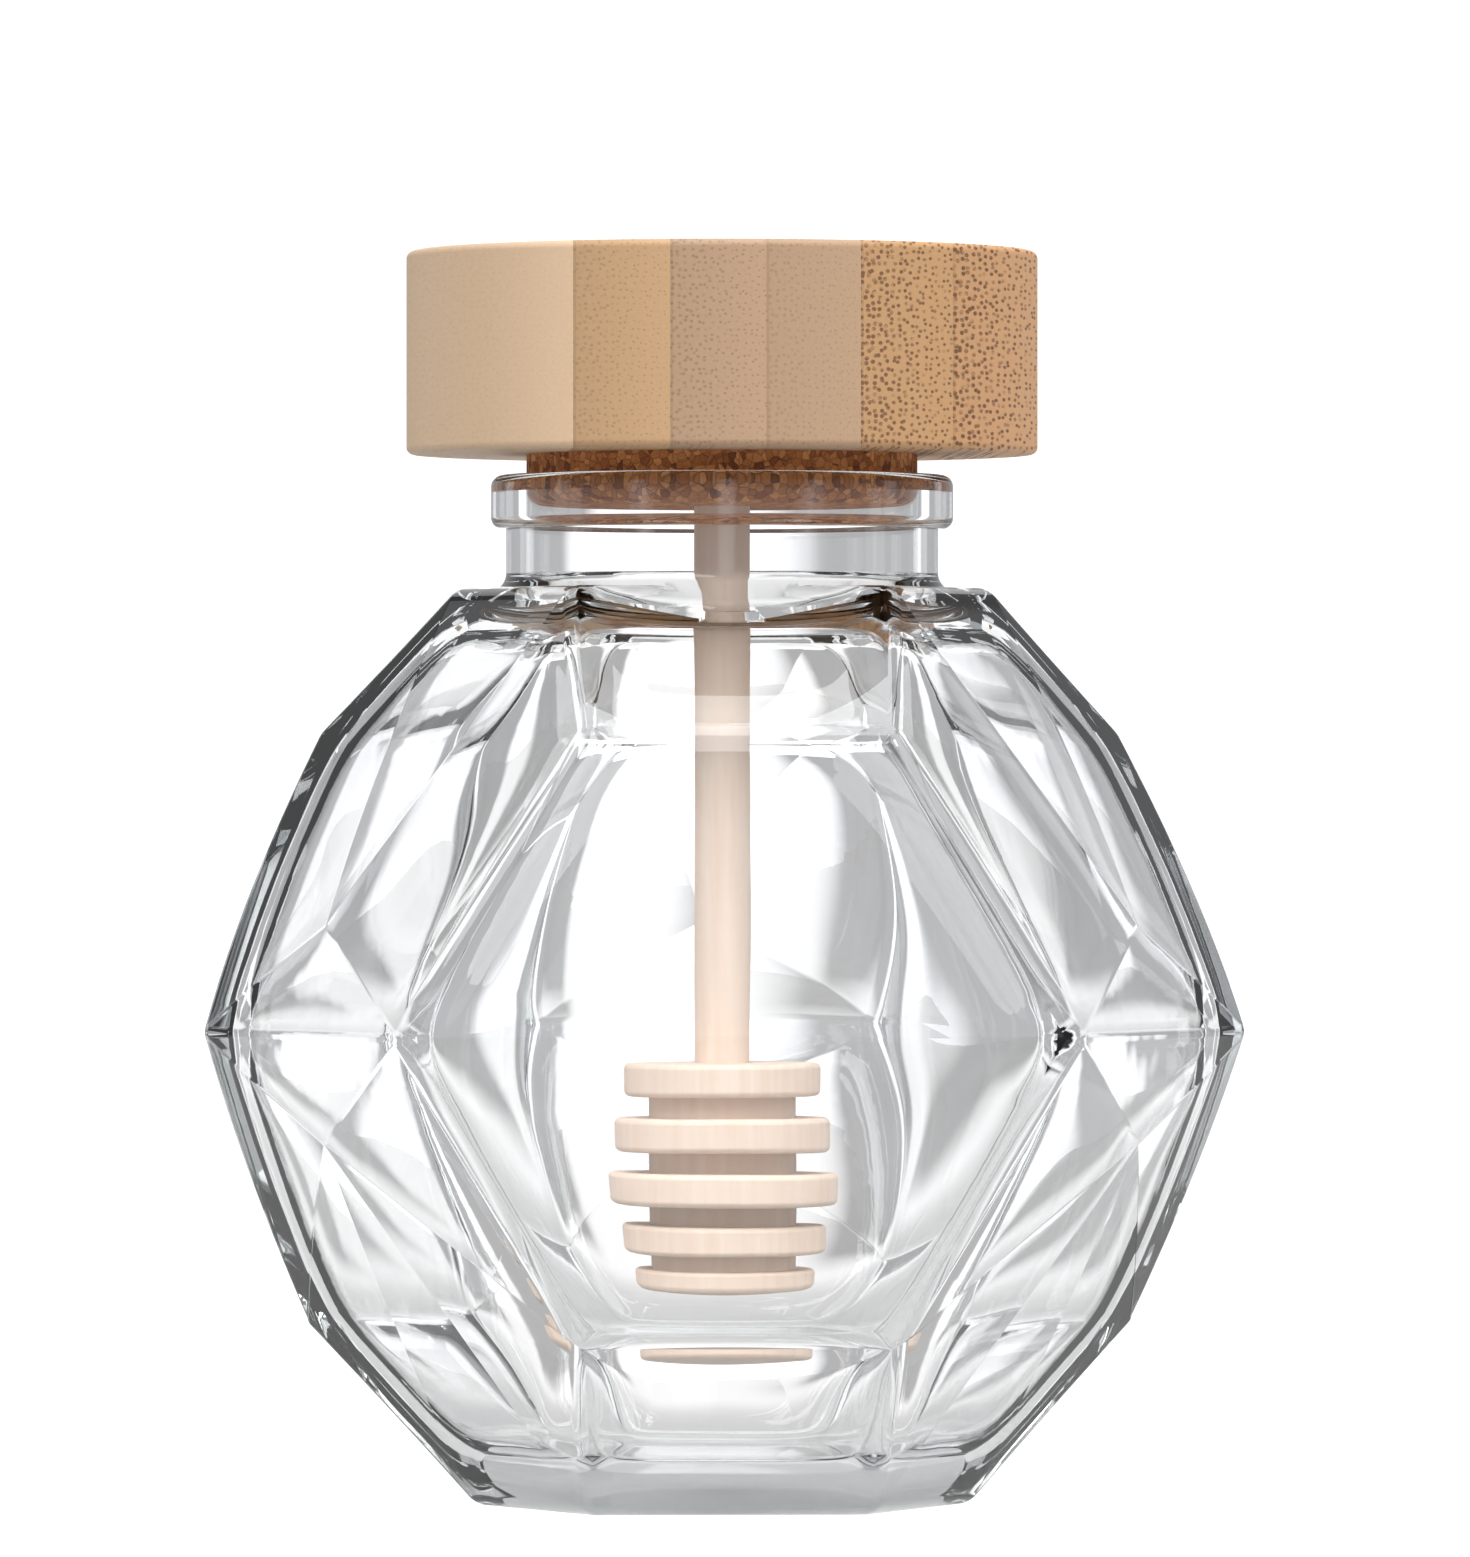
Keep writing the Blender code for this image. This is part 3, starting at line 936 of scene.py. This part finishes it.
# %% [markdown]
# ## The floor
#
# The camera sees a plain white floor. In the glass a grey sheet of painted shade lies round the jar,
# standing in for its shadow on the floor, and farther out the floor carries the same cards as the background,
# so that no horizon shows in the walls.

# %% Floor
FLOOR_SIZE = 6.0
FLOOR_WHITE = 0.9
FLOOR_FAR = 0.66  # lit by the lamps, this looks about as bright as the white behind it
# painted shade: a grey sheet round the jar's foot, seen only in the glass, stands in for the jar's shadow on
# the floor
PAINTED_SHADE_GREY = 0.42
PAINTED_SHADE_OUT, PAINTED_SHADE_GONE = 0.09, 0.28  # metres from the axis where the sheet starts to fade and is gone
CARDS_OUT, CARDS_FULL = 0.20, 0.55  # metres from the axis where the cards start to show and are full
FLOOR_ROUGHNESS = 0.9


def make_floor():
    start_fresh()
    bpy.ops.mesh.primitive_plane_add(size=FLOOR_SIZE)
    floor = bpy.context.active_object
    floor.name = "floor"
    material, tree, shader = new_material("white floor")
    place = add_node(tree, "ShaderNodeTexCoord").outputs["Object"]
    out = add_node(tree, "ShaderNodeVectorMath", {0: place}, operation="LENGTH").outputs["Value"]
    far = fade(tree, out, FLOOR_FAR, card_ring(tree, place, FLOOR_FAR), CARDS_OUT, CARDS_FULL)
    # painted shade round the jar, for every ray but the camera's
    painted_shade = fade(tree, out, PAINTED_SHADE_GREY, far, PAINTED_SHADE_OUT, PAINTED_SHADE_GONE)
    tree.links.new(camera_sees(tree, FLOOR_WHITE, painted_shade), shader.inputs["Base Color"])
    shader.inputs["Roughness"].default_value = FLOOR_ROUGHNESS
    floor.data.materials.append(material)
    return floor


floor = make_floor()
print("the floor is", round(floor.dimensions.x, 1), "m wide")

# %% [markdown]
# ## The background
#
# The camera sees plain white behind the jar. For the glass, white stands only in the gaps between
# the cards, and a little brighter, so that it stays white after the glass has mirrored some away.
# The ceiling over the cards is darker and draws the edges of the facets.

# %% Background
WHITE = 1.2  # above a screen's white, so that it is white everywhere
LEVEL_SHARE, CEILING_SHARE = 1.2, 0.50  # of the white, in directions level with the jar and high up
HIGH_FROM, HIGH_TO = 0.20, 0.60  # how far upwards a direction points where the dark starts and is full
STUDIO_COLOUR = (0.965, 0.975, 1.0)


def make_world():
    world = bpy.data.worlds.new("studio")
    bpy.context.scene.world = world
    world.use_nodes = True
    tree = world.node_tree
    background = tree.nodes["Background"]
    direction = add_node(tree, "ShaderNodeTexCoord").outputs["Generated"]
    height = add_node(tree, "ShaderNodeSeparateXYZ", {0: direction}).outputs["Z"]
    share = fade(tree, height, LEVEL_SHARE, CEILING_SHARE, HIGH_FROM, HIGH_TO)
    studio = maths(tree, "MULTIPLY", card_ring(tree, direction, WHITE), share)
    seen = add_node(tree, "ShaderNodeLightPath").outputs["Is Camera Ray"]
    colour = mix(tree, seen, (*STUDIO_COLOUR, 1), (1, 1, 1, 1))
    tree.links.new(colour, background.inputs["Color"])
    tree.links.new(camera_sees(tree, WHITE, studio), background.inputs["Strength"])


make_world()
print("the background has", CARDS, "cards, each as bright as", CARD_GREY, "of the white")

# %% [markdown]
# ## Four soft lamps
#
# The wood, bamboo and cork need light of their own, with soft shadows as under wide lamp boxes.
# One lamp shines from above, two from the front, the left one stronger, and a weak one from behind.
# Light passes the clear glass many times before it leaves, so each ray may bend and mirror often.

# %% Lamps and the length of a ray
SUNS = (  # name, tilt from straight down, turn round the jar, width in the sky in degrees, strength
    ("overhead", 8, 0, 50, 2.4),
    ("front left", 45, -35, 40, 1.5),
    ("front right", 50, 40, 40, 1.0),
    ("behind", 50, 180, 50, 0.5),
)
BOUNCES = 24
SHADOW_BOUNCES = 16  # clear surfaces that a ray to a lamp may pass


def soft_sun(name, tilt, turn, width, strength):
    """A lamp so far off that it lights the whole floor alike."""
    bpy.ops.object.light_add(type="SUN", rotation=(math.radians(tilt), 0, math.radians(turn)))
    lamp = bpy.context.active_object
    lamp.name = name
    lamp.data.energy = strength
    lamp.data.angle = math.radians(width)


for sun in SUNS:
    soft_sun(*sun)

scene = bpy.context.scene
scene.view_settings.view_transform = "Standard"
scene.cycles.max_bounces = BOUNCES
scene.cycles.transmission_bounces = BOUNCES
scene.cycles.transparent_max_bounces = SHADOW_BOUNCES
print(len(SUNS), "lamps are lit, and a ray may turn", BOUNCES, "times")
